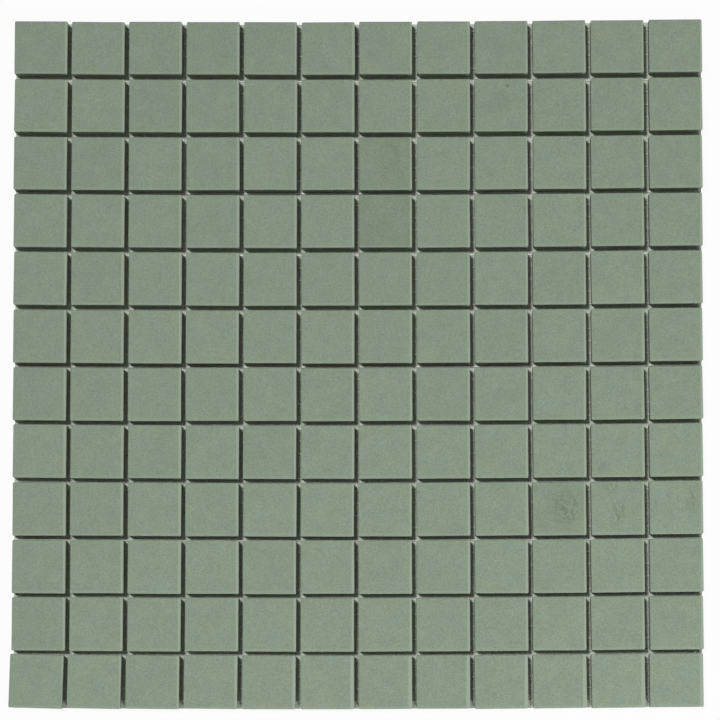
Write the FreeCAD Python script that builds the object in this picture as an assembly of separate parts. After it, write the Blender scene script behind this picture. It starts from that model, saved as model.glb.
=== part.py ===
import FreeCAD
import Part

import math
import os
import random

# Mosaic sheet: square unglazed porcelain tiles on a glass-fibre mesh, lying face up.
# Sizes are millimetres and angles are degrees.
# X runs along the rows and Y across them, from the near row to the far one.
# Z points up from the underside of the mesh, and the origin is the middle of that underside.

# Layout of the tiles
COLUMNS = 12
ROWS = 12
TILE_SIDE = 23.0
JOINT = 2.0

# One tile
TILE_THICKNESS = 8.0
CORNER_RADIUS = 0.6
ARRIS_RADIUS = 0.3
BACK_CHAMFER = 0.4

# The mesh gives a little, so the sheet isn't an even square grid. At the far end the middle
# column leans to the right, and the sides stand further apart than at the near end.
COLUMN_LEAN = 0.48
COLUMN_FAN = 0.55
# The columns lie closer together at the left and the rows at the near side: how far that
# moves the middle ones
COLUMN_CROWDING = 0.57
ROW_CROWDING = 1.2
# The ends of a row lie further back than its middle
ROW_BOW = 0.74

# How far a tile may stray from its place when the sheet is laid up
LAYING_SEED = 12
LAYING_SHIFT = 0.12
LAYING_TURN = 0.35

# The first tiles of the near row have crept to the left and turned a little clockwise
CREEP_COLUMNS = 5
CREEP_SHIFT = 1.0
CREEP_TURN = 1.1

# Backing mesh
STRAND_PITCH = 5.4
STRAND_WIDTH = 0.8
STRAND_THICKNESS = 0.4
MESH_INSET = 1.0
PATCHES_A_SIDE = 3

TILE_PITCH = TILE_SIDE + JOINT
SHEET_X = COLUMNS * TILE_PITCH - JOINT
SHEET_Y = ROWS * TILE_PITCH - JOINT
UP = FreeCAD.Vector(0, 0, 1)
SAME_POINT = 1e-6


def give(x, y, z):
    """Where a point of the even grid lies on the sheet, once the mesh has given."""
    across = 2 * x / SHEET_X
    back = 2 * y / SHEET_Y
    return FreeCAD.Vector(
        x + (COLUMN_LEAN + COLUMN_FAN * across) * back + COLUMN_CROWDING * (across ** 2 - 1),
        y + ROW_CROWDING * (back ** 2 - 1) + ROW_BOW * (across ** 2 - 0.5),
        z,
    )


def row_slope(x):
    """The angle at which a bowed row runs at one X."""
    return math.degrees(math.atan(8 * ROW_BOW * x / SHEET_X ** 2))


def rounded_square(side, radius):
    """A square face in the XY plane, centred on the origin, with its corners rounded."""
    half = side / 2
    straight = half - radius
    edges = []
    for quarter in range(4):
        turn = FreeCAD.Rotation(UP, 90 * quarter)
        start = turn.multVec(FreeCAD.Vector(half, -straight, 0))
        end = turn.multVec(FreeCAD.Vector(half, straight, 0))
        centre = turn.multVec(FreeCAD.Vector(straight, straight, 0))
        diagonal = turn.multVec(FreeCAD.Vector(1, 1, 0)).normalize()
        corner_end = turn.multVec(FreeCAD.Vector(straight, half, 0))
        edges.append(Part.LineSegment(start, end).toShape())
        edges.append(Part.Arc(end, centre + diagonal * radius, corner_end).toShape())
    return Part.Face(Part.Wire(edges))


def edges_at(solid, height):
    """The edges of a solid that lie level at one height."""
    return [edge for edge in solid.Edges
            if all(abs(vertex.Z - height) < SAME_POINT for vertex in edge.Vertexes)]


def tile():
    """One pressed tile, standing on its back at the origin, with a soft arris and a chamfered back."""
    body = rounded_square(TILE_SIDE, CORNER_RADIUS).extrude(UP * TILE_THICKNESS)
    body = body.makeFillet(ARRIS_RADIUS, edges_at(body, TILE_THICKNESS))
    return body.makeChamfer(BACK_CHAMFER, edges_at(body, 0))


def tile_places():
    """Where each tile lies on the mesh, row by row from the far one, with the small errors of laying."""
    laying = random.Random(LAYING_SEED)
    places = []
    for row in range(ROWS):
        places.append([])
        for column in range(COLUMNS):
            x = (column - (COLUMNS - 1) / 2) * TILE_PITCH
            y = ((ROWS - 1) / 2 - row) * TILE_PITCH
            place = give(x, y, STRAND_THICKNESS)
            place.x += laying.uniform(-LAYING_SHIFT, LAYING_SHIFT)
            place.y += laying.uniform(-LAYING_SHIFT, LAYING_SHIFT)
            turn = row_slope(x) + laying.uniform(-LAYING_TURN, LAYING_TURN)
            if row == ROWS - 1 and column < CREEP_COLUMNS:
                share = 1 - column / CREEP_COLUMNS
                place.x -= CREEP_SHIFT * share
                turn -= CREEP_TURN * share
            places[-1].append(FreeCAD.Placement(place, FreeCAD.Rotation(UP, turn)))
    return places


def tile_row(blank, places):
    """The tiles of one row, as solids that don't touch."""
    tiles = []
    for place in places:
        laid = blank.copy()
        laid.Placement = place
        tiles.append(laid)
    return Part.makeCompound(tiles)


def strand_runs(sheet_length):
    """The strands that cross one length of the sheet, shared out among the patches.

    One strand lies at 0. Each run is (middles of its strands, low end, high end), and the
    patches are cut apart midway between two strands.
    """
    half_mesh = sheet_length / 2 - MESH_INSET
    steps = math.floor((half_mesh - STRAND_WIDTH / 2) / STRAND_PITCH)
    middles = [STRAND_PITCH * step for step in range(-steps, steps + 1)]
    cuts = [round(len(middles) * patch / PATCHES_A_SIDE) for patch in range(PATCHES_A_SIDE + 1)]
    runs = []
    for first, after in zip(cuts, cuts[1:]):
        low = -half_mesh if first == 0 else middles[first] - STRAND_PITCH / 2
        high = half_mesh if after == len(middles) else middles[after] - STRAND_PITCH / 2
        runs.append((middles[first:after], low, high))
    return runs


def strand_ends(middles, root, tip):
    """Points along one side of a patch, where each strand stands out from root to tip."""
    points = []
    for middle in middles:
        low = middle - STRAND_WIDTH / 2
        high = middle + STRAND_WIDTH / 2
        points += [(low, root), (low, tip), (high, tip), (high, root)]
    return points


def closed_wire(points):
    """A closed polygon on the underside of the mesh, through points of the even grid."""
    corners = [give(x, y, 0) for x, y in points]
    return Part.makePolygon(corners + corners[:1])


def mesh_patch(across, along):
    """One patch of mesh: the strands of the run across and of the run along, fused where they cross."""
    xs, x_low, x_high = across
    ys, y_low, y_high = along
    half = STRAND_WIDTH / 2
    near = strand_ends(xs, ys[0] - half, y_low)
    right = [(x, y) for y, x in strand_ends(ys, xs[-1] + half, x_high)]
    far = strand_ends(xs, ys[-1] + half, y_high)[::-1]
    left = [(x, y) for y, x in strand_ends(ys, xs[0] - half, x_low)][::-1]
    # The last point of each side is the first point of the next
    wires = [closed_wire(near[:-1] + right[:-1] + far[:-1] + left[:-1])]
    for x_here, x_next in zip(xs, xs[1:]):
        for y_here, y_next in zip(ys, ys[1:]):
            low_x, high_x = x_here + half, x_next - half
            low_y, high_y = y_here + half, y_next - half
            wires.append(closed_wire([(low_x, low_y), (low_x, high_y), (high_x, high_y), (high_x, low_y)]))
    return Part.Face(wires).extrude(UP * STRAND_THICKNESS)


def main():
    os.makedirs("parts", exist_ok=True)
    blank = tile()
    for number, places in enumerate(tile_places(), start=1):
        tile_row(blank, places).exportStep(f"parts/tile_row_{number:02d}.step")
    for i, across in enumerate(strand_runs(SHEET_X), start=1):
        for j, along in enumerate(strand_runs(SHEET_Y), start=1):
            mesh_patch(across, along).exportStep(f"parts/backing_mesh_{i}_{j}.step")


main()
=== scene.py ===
import math
import bpy
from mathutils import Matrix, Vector


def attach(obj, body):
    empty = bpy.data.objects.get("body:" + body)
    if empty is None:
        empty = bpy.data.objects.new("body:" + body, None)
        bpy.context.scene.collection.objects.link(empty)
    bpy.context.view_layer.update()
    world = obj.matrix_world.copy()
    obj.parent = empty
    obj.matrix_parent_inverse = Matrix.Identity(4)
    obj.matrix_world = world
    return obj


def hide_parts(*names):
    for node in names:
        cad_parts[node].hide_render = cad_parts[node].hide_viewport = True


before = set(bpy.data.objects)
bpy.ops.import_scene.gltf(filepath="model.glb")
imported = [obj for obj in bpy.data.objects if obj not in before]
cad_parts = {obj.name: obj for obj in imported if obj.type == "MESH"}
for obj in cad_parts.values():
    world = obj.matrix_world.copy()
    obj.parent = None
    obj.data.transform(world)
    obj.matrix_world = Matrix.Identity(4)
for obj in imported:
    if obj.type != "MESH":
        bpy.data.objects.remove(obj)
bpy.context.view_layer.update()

scene = bpy.context.scene
metre = 1000.0  # Blender works in metres; sizes below are in millimetres, unless a comment says metres

# how the sheet is laid out, the same as in the CAD model
sheetGrid = {
    "tilesEachWay": 12,
    "pitch": 25.0,
    "joint": 2.0,
    "faceHeight": 8.4,
    "columnLean": 0.48,  # how the mesh has given, as sheetGive uses it
    "columnFan": 0.55,
    "columnCrowding": 0.57,
    "rowCrowding": 1.2,
    "rowBow": 0.74,
    "meshInset": 1.0,
}
sheetLength = sheetGrid["tilesEachWay"] * sheetGrid["pitch"] - sheetGrid["joint"]


# small helpers for node trees

def put(tree, kind, **values):
    # adds a node; a value named in1, in2 ... fills that input, any other name is a setting
    node = tree.nodes.new(kind)
    for name, value in values.items():
        if name.startswith("in") and name[2:].isdigit():
            join(tree, value, node.inputs[int(name[2:])])
        else:
            setattr(node, name, value)
    return node


def join(tree, value, socket):
    if isinstance(value, bpy.types.NodeSocket):
        tree.links.new(value, socket)
    elif isinstance(value, bpy.types.Node):
        tree.links.new(value.outputs[0], socket)
    else:
        socket.default_value = value


def joinAll(tree, node, values):
    for name, value in values.items():
        join(tree, value, node.inputs[name])
    return node


def calc(tree, operation, first, second=0.0, third=0.0, clamp=False):
    node = put(tree, "ShaderNodeMath", operation=operation, use_clamp=clamp)
    for value, socket in zip((first, second, third), node.inputs):
        join(tree, value, socket)
    return node.outputs[0]


def scaled(tree, vector, factor):
    node = put(tree, "ShaderNodeVectorMath", operation="SCALE", in0=vector)
    return joinAll(tree, node, {"Scale": factor}).outputs[0]


def socketIn(tree, name, kind, value=None):
    made = tree.interface.new_socket(name=name, in_out="INPUT", socket_type=kind)
    if value is not None:
        made.default_value = value
    return made


def socketOut(tree, name, kind):
    return tree.interface.new_socket(name=name, in_out="OUTPUT", socket_type=kind)


def noise(tree, vector, scale, detail=2.0, rough=0.5, distortion=0.0):
    return joinAll(tree, tree.nodes.new("ShaderNodeTexNoise"), {
        "Vector": vector, "Scale": scale, "Detail": detail, "Roughness": rough, "Distortion": distortion,
    }).outputs[0]


def spreadOut(tree):
    # sets the nodes out in columns, so that the tree can be read in the editor
    for k, node in enumerate(tree.nodes):
        node.location = (220 * (k // 5), -260 * (k % 5))


def sheetGive(tree, x, y):
    # how far a point of the even grid has moved on the sheet, in millimetres: the columns lean and
    # fan out, rows and columns crowd together at one end, and the rows bow
    grid = sheetGrid
    across = calc(tree, "MULTIPLY", x, 2.0 / sheetLength)
    back = calc(tree, "MULTIPLY", y, 2.0 / sheetLength)
    acrossSquared = calc(tree, "MULTIPLY", across, across)
    backSquared = calc(tree, "MULTIPLY", back, back)
    slant = calc(tree, "MULTIPLY_ADD", across, grid["columnFan"], grid["columnLean"])
    lean = calc(tree, "MULTIPLY", slant, back)
    inward = calc(tree, "SUBTRACT", acrossSquared, 1.0)
    moveX = calc(tree, "MULTIPLY_ADD", inward, grid["columnCrowding"], lean)
    bow = calc(tree, "MULTIPLY", calc(tree, "SUBTRACT", acrossSquared, 0.5), grid["rowBow"])
    toNear = calc(tree, "SUBTRACT", backSquared, 1.0)
    moveY = calc(tree, "MULTIPLY_ADD", toNear, grid["rowCrowding"], bow)
    return moveX, moveY


# the yarns of the backing mesh

backingYarns = {
    "pitch": 5.4,
    "patches": 3,
    "strandWidth": 0.8,  # of the bars in the CAD model, whose places the yarns take
    "height": 0.2,  # of the middle of the mesh above the floor
    "warpWidth": 0.36,
    "warpThick": 0.14,
    "warpSway": 0.2,  # a warp pair swaps sides between one weft and the next
    "warpLift": 0.13,  # over or under the weft
    "liftLeast": 0.24,  # share of the lift that is left where the pair swaps sides
    "weftWidth": 0.86,
    "weftThick": 0.12,
    "waver": 0.14,
    "waverScale": 70.0,  # per metre
    "fray": 0.35,
    "sides": 6,
    "warpSteps": 4,  # from one strand to the next
    "weftSteps": 2,
}


def yarnSetTree():
    tree = bpy.data.node_groups.new("yarnSet", "GeometryNodeTree")
    for name, kind, value in (
        ("Count", "NodeSocketInt", 10),
        ("First", "NodeSocketFloat", 0.0),
        ("Pitch", "NodeSocketFloat", 0.0054),
        ("From", "NodeSocketFloat", -0.05),
        ("To", "NodeSocketFloat", 0.05),
        ("Steps", "NodeSocketInt", 4),
        ("Width", "NodeSocketFloat", 0.0004),
        ("Thickness", "NodeSocketFloat", 0.00014),
        ("Height", "NodeSocketFloat", 0.0002),
        ("Sway", "NodeSocketFloat", 0.0),
        ("Lift", "NodeSocketFloat", 0.0),
        ("Waver", "NodeSocketFloat", 0.0),
        ("Fray at start", "NodeSocketFloat", 0.0),
        ("Fray at end", "NodeSocketFloat", 0.0),
        ("Seed", "NodeSocketInt", 1),
    ):
        socketIn(tree, name, kind, value)
    socketOut(tree, "Yarns", "NodeSocketGeometry")
    given = tree.nodes.new("NodeGroupInput").outputs

    # one straight run, cut into steps, and copied beside itself
    start = put(tree, "ShaderNodeCombineXYZ", in1=given["From"])
    end = put(tree, "ShaderNodeCombineXYZ", in1=given["To"])
    run = put(tree, "GeometryNodeCurvePrimitiveLine", in0=start, in1=end)
    length = calc(tree, "SUBTRACT", given["To"], given["From"])
    steps = calc(tree, "MULTIPLY", calc(tree, "DIVIDE", length, given["Pitch"]), given["Steps"])
    cut = joinAll(tree, tree.nodes.new("GeometryNodeResampleCurve"), {
        "Curve": run,
        "Count": calc(tree, "ADD", calc(tree, "ROUND", steps), 1.0),
    })
    places = joinAll(tree, put(tree, "GeometryNodeMeshLine", mode="OFFSET"), {
        "Count": given["Count"],
        "Start Location": put(tree, "ShaderNodeCombineXYZ", in0=given["First"]),
        "Offset": put(tree, "ShaderNodeCombineXYZ", in0=given["Pitch"]),
    })
    copies = tree.nodes.new("GeometryNodeInstanceOnPoints")
    joinAll(tree, copies, {"Points": places, "Instance": cut})
    runs = put(tree, "GeometryNodeRealizeInstances", in0=copies)

    # a warp yarn sways from side to side and rides over or under the wefts
    place = tree.nodes.new("GeometryNodeInputPosition")
    along = put(tree, "ShaderNodeSeparateXYZ", in0=place).outputs[1]
    phase = calc(tree, "MULTIPLY", calc(tree, "DIVIDE", along, given["Pitch"]), math.pi)
    sway = calc(tree, "MULTIPLY", calc(tree, "COSINE", phase), given["Sway"])
    overUnder = calc(tree, "COSINE", calc(tree, "MULTIPLY", phase, 2.0))
    least = backingYarns["liftLeast"]
    wave = calc(tree, "MULTIPLY_ADD", overUnder, (1 - least) / 2, (1 + least) / 2)
    rise = calc(tree, "MULTIPLY_ADD", wave, given["Lift"], given["Height"])
    drift = noise(tree, place, backingYarns["waverScale"], 1.0)
    wander = calc(tree, "MULTIPLY_ADD", drift, 2.0, -1.0)
    waver = calc(tree, "MULTIPLY", wander, given["Waver"])
    shift = put(tree, "ShaderNodeCombineXYZ", in0=calc(tree, "ADD", sway, waver), in2=rise)
    laid = tree.nodes.new("GeometryNodeSetPosition")
    joinAll(tree, laid, {"Geometry": runs, "Offset": shift})

    # the cut ends of the mesh aren't quite level
    for count, name in ((0, "Fray at start"), (1, "Fray at end")):
        tip = tree.nodes.new("GeometryNodeCurveEndpointSelection")
        joinAll(tree, tip, {"Start Size": 1 - count, "End Size": count})
        chance = put(tree, "FunctionNodeRandomValue", data_type="FLOAT")
        floats = [s for s in chance.inputs if s.type == "VALUE"]
        join(tree, calc(tree, "MULTIPLY", given[name], -1.0), floats[0])
        join(tree, given[name], floats[1])
        join(tree, given["Seed"], chance.inputs["Seed"])
        value = [s for s in chance.outputs if s.type == "VALUE"][0]
        laid = joinAll(tree, tree.nodes.new("GeometryNodeSetPosition"), {
            "Geometry": laid,
            "Selection": tip,
            "Offset": put(tree, "ShaderNodeCombineXYZ", in1=value),
        })

    # a flat oval section, and where each point lies on the yarn, for the fibres
    flat = put(tree, "GeometryNodeSetCurveNormal", mode="Z_UP", in0=laid)
    ring = put(tree, "GeometryNodeCurvePrimitiveCircle", mode="RADIUS")
    joinAll(tree, ring, {"Resolution": backingYarns["sides"], "Radius": 0.5})
    size = put(tree, "ShaderNodeCombineXYZ", in0=given["Width"], in1=given["Thickness"], in2=1.0)
    oval = joinAll(tree, tree.nodes.new("GeometryNodeTransform"), {"Geometry": ring, "Scale": size})
    marked = []
    for curve, name, measure in ((flat, "alongYarn", "Length"), (oval, "roundYarn", "Factor")):
        store = put(tree, "GeometryNodeStoreNamedAttribute", data_type="FLOAT", domain="POINT")
        value = tree.nodes.new("GeometryNodeSplineParameter").outputs[measure]
        marked.append(joinAll(tree, store, {"Geometry": curve, "Name": name, "Value": value}))
    swept = tree.nodes.new("GeometryNodeCurveToMesh")
    joinAll(tree, swept, {"Curve": marked[0], "Profile Curve": marked[1], "Fill Caps": True})
    out = tree.nodes.new("NodeGroupOutput")
    join(tree, swept, out.inputs[0])
    spreadOut(tree)
    return tree


def wovenPatchTree(yarnSet, finish):
    tree = bpy.data.node_groups.new("wovenPatch", "GeometryNodeTree")
    socketIn(tree, "Geometry", "NodeSocketGeometry")
    for name, kind in (
        ("Warps", "NodeSocketInt"), ("Warp first", "NodeSocketFloat"),
        ("Wefts", "NodeSocketInt"), ("Weft first", "NodeSocketFloat"),
        ("Left", "NodeSocketFloat"), ("Right", "NodeSocketFloat"),
        ("Near", "NodeSocketFloat"), ("Far", "NodeSocketFloat"),
        ("Fray left", "NodeSocketFloat"), ("Fray right", "NodeSocketFloat"),
        ("Fray near", "NodeSocketFloat"), ("Fray far", "NodeSocketFloat"),
        ("Seed", "NodeSocketInt"),
    ):
        socketIn(tree, name, kind)
    socketOut(tree, "Geometry", "NodeSocketGeometry")
    given = tree.nodes.new("NodeGroupInput").outputs
    yarns = backingYarns

    def yarnsOf(count, first, low, high, frayLow, frayHigh, steps, width, thick, sway, lift, seed):
        return joinAll(tree, put(tree, "GeometryNodeGroup", node_tree=yarnSet), {
            "Count": count, "First": first, "Pitch": yarns["pitch"] / metre,
            "From": low, "To": high, "Steps": steps,
            "Width": width / metre, "Thickness": thick / metre,
            "Height": yarns["height"] / metre, "Sway": sway / metre, "Lift": lift / metre,
            "Waver": yarns["waver"] / metre, "Fray at start": frayLow, "Fray at end": frayHigh,
            "Seed": calc(tree, "ADD", given["Seed"], float(seed)),
        })

    warps = [
        yarnsOf(given["Warps"], given["Warp first"], given["Near"], given["Far"],
                given["Fray near"], given["Fray far"], yarns["warpSteps"],
                yarns["warpWidth"], yarns["warpThick"],
                side * yarns["warpSway"], side * yarns["warpLift"], seed)
        for side, seed in ((1, 11), (-1, 12))
    ]
    # the wefts are made along Y and turned a quarter, which puts their start on the right
    weftStart = calc(tree, "MULTIPLY", given["Right"], -1.0)
    weftEnd = calc(tree, "MULTIPLY", given["Left"], -1.0)
    weft = yarnsOf(given["Wefts"], given["Weft first"], weftStart, weftEnd,
                   given["Fray right"], given["Fray left"], yarns["weftSteps"],
                   yarns["weftWidth"], yarns["weftThick"], 0.0, 0.0, 13)
    turned = tree.nodes.new("GeometryNodeTransform")
    joinAll(tree, turned, {"Geometry": weft, "Rotation": (0.0, 0.0, math.radians(90))})
    both = tree.nodes.new("GeometryNodeJoinGeometry")
    for part in (*warps, turned):
        tree.links.new(part.outputs[0], both.inputs[0])

    # the mesh has given, as the tiles show
    here = tree.nodes.new("GeometryNodeInputPosition")
    place = put(tree, "ShaderNodeSeparateXYZ", in0=scaled(tree, here, metre))
    moveX, moveY = sheetGive(tree, place.outputs[0], place.outputs[1])
    moveBy = put(tree, "ShaderNodeCombineXYZ", in0=moveX, in1=moveY)
    settled = tree.nodes.new("GeometryNodeSetPosition")
    joinAll(tree, settled, {"Geometry": both, "Offset": scaled(tree, moveBy, 1 / metre)})

    whole = put(tree, "GeometryNodeRealizeInstances", in0=settled)
    dressed = tree.nodes.new("GeometryNodeSetMaterial")
    joinAll(tree, dressed, {"Geometry": whole, "Material": finish})
    out = tree.nodes.new("NodeGroupOutput")
    join(tree, dressed, out.inputs[0])
    spreadOut(tree)
    return tree


def runPatch(tree, name, values):
    # runs the tree on an empty mesh and keeps the result as a plain mesh
    holder = bpy.data.objects.new(name + "_maker", bpy.data.meshes.new(name + "_maker"))
    scene.collection.objects.link(holder)
    modifier = holder.modifiers.new("woven", "NODES")
    modifier.node_group = tree
    ids = {item.name: item.identifier for item in tree.interface.items_tree if item.in_out == "INPUT"}
    for inputName, value in values.items():
        modifier[ids[inputName]] = value
    evaluated = holder.evaluated_get(bpy.context.evaluated_depsgraph_get())
    mesh = bpy.data.meshes.new_from_object(evaluated)
    mesh.name = name
    holder.modifiers.remove(modifier)
    bpy.data.objects.remove(holder)
    piece = bpy.data.objects.new(name, mesh)
    scene.collection.objects.link(piece)
    return piece


def yarnRuns():
    # shares the strands out among the patches as the CAD model does
    half = sheetLength / 2 - sheetGrid["meshInset"]
    pitch = backingYarns["pitch"]
    steps = math.floor((half - backingYarns["strandWidth"] / 2) / pitch)
    middles = [pitch * k for k in range(-steps, steps + 1)]
    patches = backingYarns["patches"]
    cuts = [round(len(middles) * k / patches) for k in range(patches + 1)]
    runs = []
    for first, after in zip(cuts, cuts[1:]):
        outerLow, outerHigh = first == 0, after == len(middles)
        runs.append({
            "first": middles[first] / metre,
            "count": after - first,
            "low": (-half if outerLow else middles[first] - pitch / 2) / metre,
            "high": (half if outerHigh else middles[after] - pitch / 2) / metre,
            "frayLow": backingYarns["fray"] / metre if outerLow else 0.0,
            "frayHigh": backingYarns["fray"] / metre if outerHigh else 0.0,
        })
    return runs


def weaveBacking(finish):
    tree = wovenPatchTree(yarnSetTree(), finish)
    runs = yarnRuns()
    for i, across in enumerate(runs, start=1):
        for j, along in enumerate(runs, start=1):
            piece = runPatch(tree, f"woven_mesh_{i}_{j}", {
                "Warps": across["count"], "Warp first": across["first"],
                "Wefts": along["count"], "Weft first": along["first"],
                "Left": across["low"], "Right": across["high"],
                "Near": along["low"], "Far": along["high"],
                "Fray left": across["frayLow"], "Fray right": across["frayHigh"],
                "Fray near": along["frayLow"], "Fray far": along["frayHigh"],
                "Seed": 10 * i + j,
            })
            for polygon in piece.data.polygons:
                polygon.use_smooth = True
            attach(piece, "root")
            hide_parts(f"backing_mesh_{i}_{j}")


# finishes

def newMaterial(name):
    material = bpy.data.materials.new(name)
    material.use_nodes = True
    tree = material.node_tree
    return material, tree, tree.nodes["Principled BSDF"]


def spread(tree, value, low, high, toLow=0.0, toHigh=1.0, smooth=False):
    # maps the range low to high onto toLow to toHigh, and holds it there beyond
    node = put(tree, "ShaderNodeMapRange", interpolation_type="SMOOTHSTEP" if smooth else "LINEAR")
    return joinAll(tree, node, {
        "Value": value, "From Min": low, "From Max": high, "To Min": toLow, "To Max": toHigh,
    }).outputs[0]


def blendColour(tree, mode, share, first, second):
    node = put(tree, "ShaderNodeMix", data_type="RGBA", blend_type=mode)
    colours = [s for s in node.inputs if s.type == "RGBA"]
    join(tree, share, node.inputs[0])
    join(tree, first, colours[0])
    join(tree, second, colours[1])
    return [s for s in node.outputs if s.type == "RGBA"][0]


def millimetres(tree):
    # Object coordinates in millimetres, so that the scales in the finishes are per millimetre
    return scaled(tree, tree.nodes.new("ShaderNodeTexCoord").outputs["Object"], metre)


def bumpFrom(tree, shader, height, look):
    bump = joinAll(tree, tree.nodes.new("ShaderNodeBump"), {
        "Strength": look["bumpStrength"], "Distance": look["bumpDepth"], "Height": height,
    })
    join(tree, bump, shader.inputs["Normal"])


def grainGroup():
    # fine grains and soft clouds, from 0 to 1 around 0.5: for the fired clay and the resin on the yarn
    tree = bpy.data.node_groups.new("grainAndCloud", "ShaderNodeTree")
    socketIn(tree, "Vector", "NodeSocketVector")
    socketIn(tree, "Grain scale", "NodeSocketFloat", 2.0)
    socketIn(tree, "Cloud scale", "NodeSocketFloat", 0.3)
    socketOut(tree, "Grain", "NodeSocketFloat")
    socketOut(tree, "Cloud", "NodeSocketFloat")
    given = tree.nodes.new("NodeGroupInput").outputs
    joinAll(tree, tree.nodes.new("NodeGroupOutput"), {
        "Grain": noise(tree, given["Vector"], given["Grain scale"], 3.0, 0.65),
        "Cloud": noise(tree, given["Vector"], given["Cloud scale"], 3.0),
    })
    spreadOut(tree)
    return tree


# of two numbers in brackets, the first goes with the least of an effect and the second with the most;
# ranges are values of the noise or of the upward part of the normal
sagePorcelain = {
    "clay": (0.238, 0.304, 0.219, 1.0),
    "grainScale": 1.4,
    "darkGrain": (0.176, 0.231, 0.160, 1.0),
    "darkRange": (0.52, 0.30),
    "darkShare": 0.85,
    "paleGrain": (0.307, 0.377, 0.286, 1.0),
    "paleRange": (0.52, 0.74),
    "paleShare": 0.70,
    "warmTint": (0.253, 0.302, 0.200, 1.0),
    "coolTint": (0.223, 0.306, 0.238, 1.0),
    "tintScale": 0.13,
    "tintRange": (0.34, 0.66),
    "tintShare": (0.35, 0.75),
    "cloudScale": 0.16,
    "cloudRange": (0.3, 0.7),
    "cloudLightness": (0.94, 1.06),
    "tileLightness": (0.98, 1.02),
    "smudge": (0.65, 0.62, 0.55, 1.0),  # what the marks and the darker tiles multiply the colour by
    "strokeTurn": -60.0,  # the noise that tears the marks is turned, in degrees, and drawn out
    "strokeSize": (2.3, 1.0, 2.0),
    "markDepth": 8.0,  # half of it, as with the length and width of a mark
    "darkFired": (0.62, 0.66, 0.56, 1.0),
    "blotchScale": 0.09,
    "blotchRange": (0.35, 0.65),
    "blotchShare": (0.6, 1.2),
    "highlightWidth": 1.05,  # of the painted highlight, a pale line along the right and near sides of a face
    "highlightSoftness": 0.2,
    "rimRight": 0.90,
    "rimNear": 0.30,
    # pale colour of the rubbed arris, also used for the painted highlight along the right and near sides
    # of a face
    "arris": (0.325, 0.389, 0.304, 1.0),
    "arrisFromWall": (0.15, 0.45),
    "arrisFromFace": (0.995, 0.90),
    "arrisWear": (0.12, 0.30),
    "wearScale": 0.9,
    "wearRange": (0.35, 0.62),
    # painted light on the walls: its pale colour, where on the walls by the upward part of the normal,
    # and how much
    "dust": (0.47, 0.51, 0.44, 1.0),
    "wallRange": (0.30, 0.10),
    "wallDust": 0.35,
    "glue": (0.62, 0.62, 0.56, 1.0),
    "glueScale": 0.5,
    "glueRange": (0.3, 0.7),
    "glueHeight": (0.5, 1.7),
    "glueShare": 0.20,
    "roughness": 0.62,
    "cloudRoughness": 0.16,
    "wearPolish": 0.12,
    "specular": 0.4,
    "bumpStrength": 0.5,
    "bumpDepth": 0.000018,  # metres
}

# marks that the photo shows: X, Y, half length, half width in millimetres, turn in degrees,
# strength, and 1 where the mark is made of short strokes
tileMarks = (
    (65.3, 120.2, 1.2, 0.8, -20.0, 1.00, 0.0),
    (61.0, 114.0, 6.0, 7.0, 0.0, 0.14, 0.0),
    (73.0, 66.0, 1.5, 1.5, 0.0, 0.40, 0.0),
    (89.5, -63.0, 10.5, 11.0, 0.0, 0.80, 1.0),
    (112.0, -66.0, 5.0, 9.0, -15.0, 0.75, 1.0),
    (109.0, -54.0, 5.0, 3.0, -30.0, 0.75, 1.0),
    (105.5, -46.0, 4.0, 3.0, 0.0, 0.75, 1.0),
    (143.5, -60.0, 4.0, 8.0, 0.0, 0.60, 1.0),
)
# tiles that were fired darker: column and row, both counted from 0 at the near left corner, and strength
darkTiles = ((6, 9, 0.30), (6, 8, 0.34), (9, 3, 0.18))
# about how far the near row lies to the left of the others
nearRowCrept = 0.5
# a mark, with its edge at 1: how far the noise moves the edge, where the mark begins to fade and
# ends, and the values of the noise between which a stroke fades in
markShape = {"ragged": 1.6, "fade": (0.25, 1.15), "strokes": (0.47, 0.57)}


def markGroup():
    # one dark smudge with a ragged edge, at a place on the sheet, whole or in strokes
    tree = bpy.data.node_groups.new("smudge", "ShaderNodeTree")
    socketIn(tree, "Vector", "NodeSocketVector")
    socketIn(tree, "Ragged", "NodeSocketFloat", 0.5)
    socketIn(tree, "Strokes", "NodeSocketFloat", 0.0)
    socketIn(tree, "Strength", "NodeSocketFloat", 0.5)
    socketOut(tree, "Mask", "NodeSocketFloat")
    given = tree.nodes.new("NodeGroupInput").outputs
    far = put(tree, "ShaderNodeVectorMath", operation="LENGTH", in0=given["Vector"]).outputs["Value"]
    aroundHalf = calc(tree, "SUBTRACT", given["Ragged"], 0.5)
    edge = calc(tree, "MULTIPLY_ADD", aroundHalf, markShape["ragged"], far)
    faded = spread(tree, edge, *markShape["fade"], 1.0, 0.0, True)
    smudged = calc(tree, "MULTIPLY", faded, given["Strength"])
    strokes = spread(tree, given["Ragged"], *markShape["strokes"])
    kept = calc(tree, "MULTIPLY_ADD", calc(tree, "SUBTRACT", strokes, 1.0), given["Strokes"], 1.0)
    out = tree.nodes.new("NodeGroupOutput")
    join(tree, calc(tree, "MULTIPLY", smudged, kept), out.inputs[0])
    spreadOut(tree)
    return tree


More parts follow.
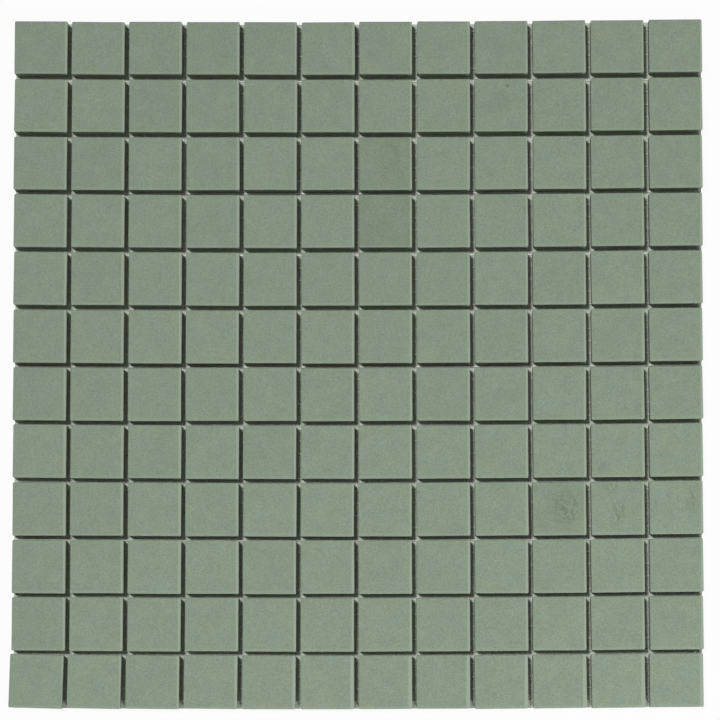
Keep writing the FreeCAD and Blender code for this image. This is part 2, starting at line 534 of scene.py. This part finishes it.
def porcelainMaterial(grains, smudge):
    look = sagePorcelain
    material, tree, shader = newMaterial("sagePorcelain")
    where = millimetres(tree)
    axes = put(tree, "ShaderNodeSeparateXYZ", in0=where)
    grain = joinAll(tree, put(tree, "ShaderNodeGroup", node_tree=grains), {
        "Vector": where, "Grain scale": look["grainScale"], "Cloud scale": look["cloudScale"],
    }).outputs

    # which tile this is: the give of the mesh is taken off, and the crept near row moved back a little
    pitch = sheetGrid["pitch"]
    half = sheetGrid["tilesEachWay"] * pitch / 2
    moveX, moveY = sheetGive(tree, axes.outputs[0], axes.outputs[1])
    evenX = calc(tree, "SUBTRACT", axes.outputs[0], moveX)
    evenY = calc(tree, "SUBTRACT", axes.outputs[1], moveY)
    nearRow = calc(tree, "LESS_THAN", evenY, -half + pitch)
    evenX = calc(tree, "MULTIPLY_ADD", nearRow, nearRowCrept, evenX)
    column, row = (
        calc(tree, "FLOOR", calc(tree, "DIVIDE", calc(tree, "ADD", even, half), pitch))
        for even in (evenX, evenY)
    )
    cell = put(tree, "ShaderNodeCombineXYZ", in0=column, in1=row)
    dice = put(tree, "ShaderNodeTexWhiteNoise", noise_dimensions="2D", in0=cell)

    # colour: clay, firing tint from tile to tile, grains, clouds
    warm = spread(tree, noise(tree, where, look["tintScale"], 3.0, 0.6), *look["tintRange"])
    tint = blendColour(tree, "MIX", warm, look["coolTint"], look["warmTint"])
    tintShare = spread(tree, dice.outputs["Value"], 0.0, 1.0, *look["tintShare"])
    colour = blendColour(tree, "MIX", tintShare, look["clay"], tint)
    darkShare = spread(tree, grain["Grain"], *look["darkRange"], 0.0, look["darkShare"])
    paleShare = spread(tree, grain["Grain"], *look["paleRange"], 0.0, look["paleShare"])
    colour = blendColour(tree, "MIX", darkShare, colour, look["darkGrain"])
    colour = blendColour(tree, "MIX", paleShare, colour, look["paleGrain"])
    cloud = spread(tree, grain["Cloud"], *look["cloudRange"], *look["cloudLightness"])
    firing = spread(tree, dice.outputs["Value"], 0.0, 1.0, *look["tileLightness"])
    lightness = calc(tree, "MULTIPLY", cloud, firing)
    grey = put(tree, "ShaderNodeCombineColor", in0=lightness, in1=lightness, in2=lightness)
    colour = blendColour(tree, "MULTIPLY", 1.0, colour, grey)

    # the marks, ragged into short slanting strokes
    slanted = joinAll(tree, put(tree, "ShaderNodeMapping", vector_type="TEXTURE", in0=where), {
        "Rotation": (0.0, 0.0, math.radians(look["strokeTurn"])),
        "Scale": look["strokeSize"],
    })
    ragged = noise(tree, slanted, 1.0, 4.0, 0.65, 0.6)
    smudged = 0.0
    for x, y, longHalf, shortHalf, turn, strength, strokes in tileMarks:
        moved = joinAll(tree, put(tree, "ShaderNodeMapping", vector_type="TEXTURE", in0=where), {
            "Location": (x, y, sheetGrid["faceHeight"]),
            "Rotation": (0.0, 0.0, math.radians(turn)),
            "Scale": (longHalf, shortHalf, look["markDepth"]),
        })
        mark = joinAll(tree, put(tree, "ShaderNodeGroup", node_tree=smudge), {
            "Vector": moved, "Ragged": ragged, "Strength": strength, "Strokes": strokes,
        })
        smudged = calc(tree, "MAXIMUM", smudged, mark.outputs[0])
    colour = blendColour(tree, "MULTIPLY", smudged, colour, look["smudge"])

    # the tiles that were fired darker, unevenly
    blotch = noise(tree, where, look["blotchScale"], 3.0)
    blotch = spread(tree, blotch, *look["blotchRange"], *look["blotchShare"])
    dark = 0.0
    for darkColumn, darkRow, strength in darkTiles:
        inColumn = calc(tree, "COMPARE", column, float(darkColumn), 0.5)
        inRow = calc(tree, "COMPARE", row, float(darkRow), 0.5)
        here = calc(tree, "MULTIPLY", calc(tree, "MULTIPLY", inColumn, inRow), strength)
        dark = calc(tree, "MAXIMUM", dark, calc(tree, "MULTIPLY", here, blotch))
    colour = blendColour(tree, "MULTIPLY", dark, colour, look["darkFired"])

    # painted highlight: a pale line in the arris colour along the right and near sides of the face
    onTile = []
    for even, count in ((evenX, column), (evenY, row)):
        start = calc(tree, "MULTIPLY_ADD", count, pitch, -half)
        onTile.append(calc(tree, "SUBTRACT", even, start))
    soft = look["highlightSoftness"]
    nearSide = sheetGrid["joint"] / 2 + look["highlightWidth"]
    rightSide = pitch - nearSide
    rimRight = spread(tree, onTile[0], rightSide - soft, rightSide + soft, 0.0, look["rimRight"], True)
    rimNear = spread(tree, onTile[1], nearSide + soft, nearSide - soft, 0.0, look["rimNear"], True)
    colour = blendColour(tree, "MIX", calc(tree, "MAXIMUM", rimRight, rimNear), colour, look["arris"])

    # the arris is rubbed pale: it is where the face turns down into the wall
    normal = tree.nodes.new("ShaderNodeNewGeometry").outputs["Normal"]
    upward = put(tree, "ShaderNodeSeparateXYZ", in0=normal).outputs[2]
    fromWall = spread(tree, upward, *look["arrisFromWall"])
    fromFace = spread(tree, upward, *look["arrisFromFace"])
    bend = calc(tree, "MULTIPLY", fromWall, fromFace)
    rubbed = noise(tree, where, look["wearScale"], 4.0, 0.7)
    wear = calc(tree, "MULTIPLY", bend, spread(tree, rubbed, *look["wearRange"], *look["arrisWear"]))
    colour = blendColour(tree, "MIX", wear, colour, look["arris"])

    # painted light: the walls are painted paler, standing in for light that reaches them in the joints
    wall = spread(tree, calc(tree, "ABSOLUTE", upward), *look["wallRange"], 0.0, look["wallDust"])
    colour = blendColour(tree, "MIX", wall, colour, look["dust"])

    # dried glue has crept a little way up the walls and over the back
    crept = noise(tree, where, look["glueScale"], 3.0)
    glueHeight = spread(tree, crept, *look["glueRange"], *look["glueHeight"])
    glued = calc(tree, "LESS_THAN", axes.outputs[2], glueHeight)
    glue = calc(tree, "MULTIPLY", glued, look["glueShare"])
    colour = blendColour(tree, "MIX", glue, colour, look["glue"])
    join(tree, colour, shader.inputs["Base Color"])

    aroundHalf = calc(tree, "SUBTRACT", grain["Cloud"], 0.5)
    rough = calc(tree, "MULTIPLY_ADD", aroundHalf, look["cloudRoughness"], look["roughness"])
    rough = calc(tree, "MULTIPLY_ADD", wear, -look["wearPolish"], rough)
    joinAll(tree, shader, {"Roughness": rough, "Specular IOR Level": look["specular"]})
    bumpFrom(tree, shader, grain["Grain"], look)
    spreadOut(tree)
    return material


glassYarn = {
    "fibre": (0.69, 0.71, 0.64, 1.0),
    "resin": (0.84, 0.86, 0.79, 1.0),
    "fibresAlong": 400.0,  # steps of the noise in a metre of yarn, and once round it
    "fibresRound": 26.0,
    "fibreRange": (0.35, 0.65),
    "dust": (0.46, 0.45, 0.40, 1.0),
    "cloudScale": 0.12,
    "dustRange": (0.5, 0.8),
    "dustShare": 0.4,
    "grainScale": 3.0,
    "grainRange": (0.3, 0.7),
    "roughness": (0.40, 0.56),
    "bumpStrength": 0.4,
    "bumpDepth": 0.00002,  # metres
}


def yarnMaterial(grains):
    look = glassYarn
    material, tree, shader = newMaterial("glassYarn")
    where = millimetres(tree)
    grain = joinAll(tree, put(tree, "ShaderNodeGroup", node_tree=grains), {
        "Vector": where, "Grain scale": look["grainScale"], "Cloud scale": look["cloudScale"],
    }).outputs
    along = put(tree, "ShaderNodeAttribute", attribute_name="alongYarn").outputs["Fac"]
    around = put(tree, "ShaderNodeAttribute", attribute_name="roundYarn").outputs["Fac"]
    along = calc(tree, "MULTIPLY", along, look["fibresAlong"])
    around = calc(tree, "MULTIPLY", around, look["fibresRound"])
    fibres = noise(tree, put(tree, "ShaderNodeCombineXYZ", in0=along, in1=around), 1.0)
    resin = spread(tree, fibres, *look["fibreRange"])
    colour = blendColour(tree, "MIX", resin, look["fibre"], look["resin"])
    dusty = spread(tree, grain["Cloud"], *look["dustRange"], 0.0, look["dustShare"])
    colour = blendColour(tree, "MIX", dusty, colour, look["dust"])
    rough = spread(tree, grain["Grain"], *look["grainRange"], *look["roughness"])
    joinAll(tree, shader, {"Base Color": colour, "Roughness": rough})
    bumpFrom(tree, shader, fibres, look)
    spreadOut(tree)
    return material


# stage: floor, light and camera, in metres and degrees

stageSetup = {
    "floorHalf": 6.0,
    "floorColour": (0.58, 0.63, 0.55, 1.0),
    "floorRoughness": 0.9,
    "floorSpecular": 0.1,
    "plainNear": 0.95,  # share of plain white beside the sheet
    "plainAt": 30.0,  # millimetres from the sheet to where the floor is all white
    "sunStrength": 2.05,
    "sunAngle": 9.5,
    "sunFrom": (-0.236, 0.193, 1.0),
    "fillEnergy": 4.7,
    "fillAt": (0.42, -0.78, 0.52),
    "fillSize": 0.3,
    "worldStrength": 0.055,
}
cameraSetup = {
    "at": (0.010, -0.150, 1.800),
    "pitch": 4.811,
    "yaw": 0.292,
    "roll": -0.119,
    "lens": 208.03,  # this and the sensor in millimetres
    "sensor": 36.0,
    "clipEnd": 50.0,
}


def layFloor():
    material, tree, shader = newMaterial("whitePaper")
    where = millimetres(tree)
    axes = put(tree, "ShaderNodeSeparateXYZ", in0=where)
    # how far outside the sheet this is; within it the floor shows as it is lit
    moveX, moveY = sheetGive(tree, axes.outputs[0], axes.outputs[1])
    evenX = calc(tree, "ABSOLUTE", calc(tree, "SUBTRACT", axes.outputs[0], moveX))
    evenY = calc(tree, "ABSOLUTE", calc(tree, "SUBTRACT", axes.outputs[1], moveY))
    outside = calc(tree, "SUBTRACT", calc(tree, "MAXIMUM", evenX, evenY), sheetLength / 2)
    plain = spread(tree, outside, 0.0, stageSetup["plainAt"], stageSetup["plainNear"], 1.0, True)
    plain = calc(tree, "MULTIPLY", plain, calc(tree, "GREATER_THAN", outside, 0.0))
    path = tree.nodes.new("ShaderNodeLightPath").outputs
    seen = calc(tree, "ADD", path["Is Camera Ray"], path["Is Glossy Ray"], clamp=True)
    seen = calc(tree, "ADD", seen, path["Is Transmission Ray"], clamp=True)
    joinAll(tree, shader, {
        "Base Color": stageSetup["floorColour"],
        "Roughness": stageSetup["floorRoughness"],
        "Specular IOR Level": stageSetup["floorSpecular"],
    })
    white = tree.nodes.new("ShaderNodeEmission")
    mix = put(tree, "ShaderNodeMixShader", in0=calc(tree, "MULTIPLY", plain, seen))
    join(tree, shader, mix.inputs[1])
    join(tree, white, mix.inputs[2])
    # from below, the floor is clear, so that the back of the sheet can be looked at
    backfacing = tree.nodes.new("ShaderNodeNewGeometry").outputs["Backfacing"]
    clear = put(tree, "ShaderNodeMixShader", in0=backfacing)
    join(tree, mix, clear.inputs[1])
    join(tree, tree.nodes.new("ShaderNodeBsdfTransparent"), clear.inputs[2])
    join(tree, clear, tree.nodes["Material Output"].inputs["Surface"])
    spreadOut(tree)
    half = stageSetup["floorHalf"]
    mesh = bpy.data.meshes.new("floor")
    corners = [(-half, -half, 0.0), (half, -half, 0.0), (half, half, 0.0), (-half, half, 0.0)]
    mesh.from_pydata(corners, [], [(0, 1, 2, 3)])
    mesh.materials.append(material)
    floor = bpy.data.objects.new("floor", mesh)
    scene.collection.objects.link(floor)


def lightScene():
    sun = bpy.data.lights.new("keyLight", "SUN")
    sun.energy = stageSetup["sunStrength"]
    sun.angle = math.radians(stageSetup["sunAngle"])
    key = bpy.data.objects.new("keyLight", sun)
    key.rotation_euler = Vector(stageSetup["sunFrom"]).to_track_quat("Z", "Y").to_euler()
    scene.collection.objects.link(key)
    panel = bpy.data.lights.new("fillLight", "AREA")
    panel.energy = stageSetup["fillEnergy"]
    panel.size = stageSetup["fillSize"]
    fill = bpy.data.objects.new("fillLight", panel)
    fill.location = stageSetup["fillAt"]
    fill.rotation_euler = Vector(stageSetup["fillAt"]).to_track_quat("Z", "Y").to_euler()
    fill.visible_camera = False
    scene.collection.objects.link(fill)

    world = bpy.data.worlds.new("studio")
    scene.world = world
    world.use_nodes = True
    tree = world.node_tree
    background = tree.nodes["Background"]
    background.inputs["Color"].default_value = (1.0, 1.0, 1.0, 1.0)
    path = tree.nodes.new("ShaderNodeLightPath").outputs
    seen = calc(tree, "ADD", path["Is Camera Ray"], path["Is Transmission Ray"], clamp=True)
    strength = spread(tree, seen, 0.0, 1.0, stageSetup["worldStrength"], 1.0)
    join(tree, strength, background.inputs["Strength"])
    spreadOut(tree)
    scene.view_settings.view_transform = "Standard"


def placeCamera():
    lens = bpy.data.cameras.new("overhead")
    lens.sensor_width = cameraSetup["sensor"]
    lens.lens = cameraSetup["lens"]
    lens.clip_end = cameraSetup["clipEnd"]
    camera = bpy.data.objects.new("overhead", lens)
    camera.location = cameraSetup["at"]
    camera.rotation_mode = "ZXY"
    camera.rotation_euler = [math.radians(cameraSetup[turn]) for turn in ("pitch", "yaw", "roll")]
    scene.collection.objects.link(camera)
    scene.camera = camera


placeCamera()
lightScene()
layFloor()
print("stage set")

grains = grainGroup()
tileFinish = porcelainMaterial(grains, markGroup())
for name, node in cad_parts.items():
    if name.startswith("tile_row"):
        node.data.materials.clear()
        node.data.materials.append(tileFinish)
print("tiles finished")

weaveBacking(yarnMaterial(grains))
print("backing woven")
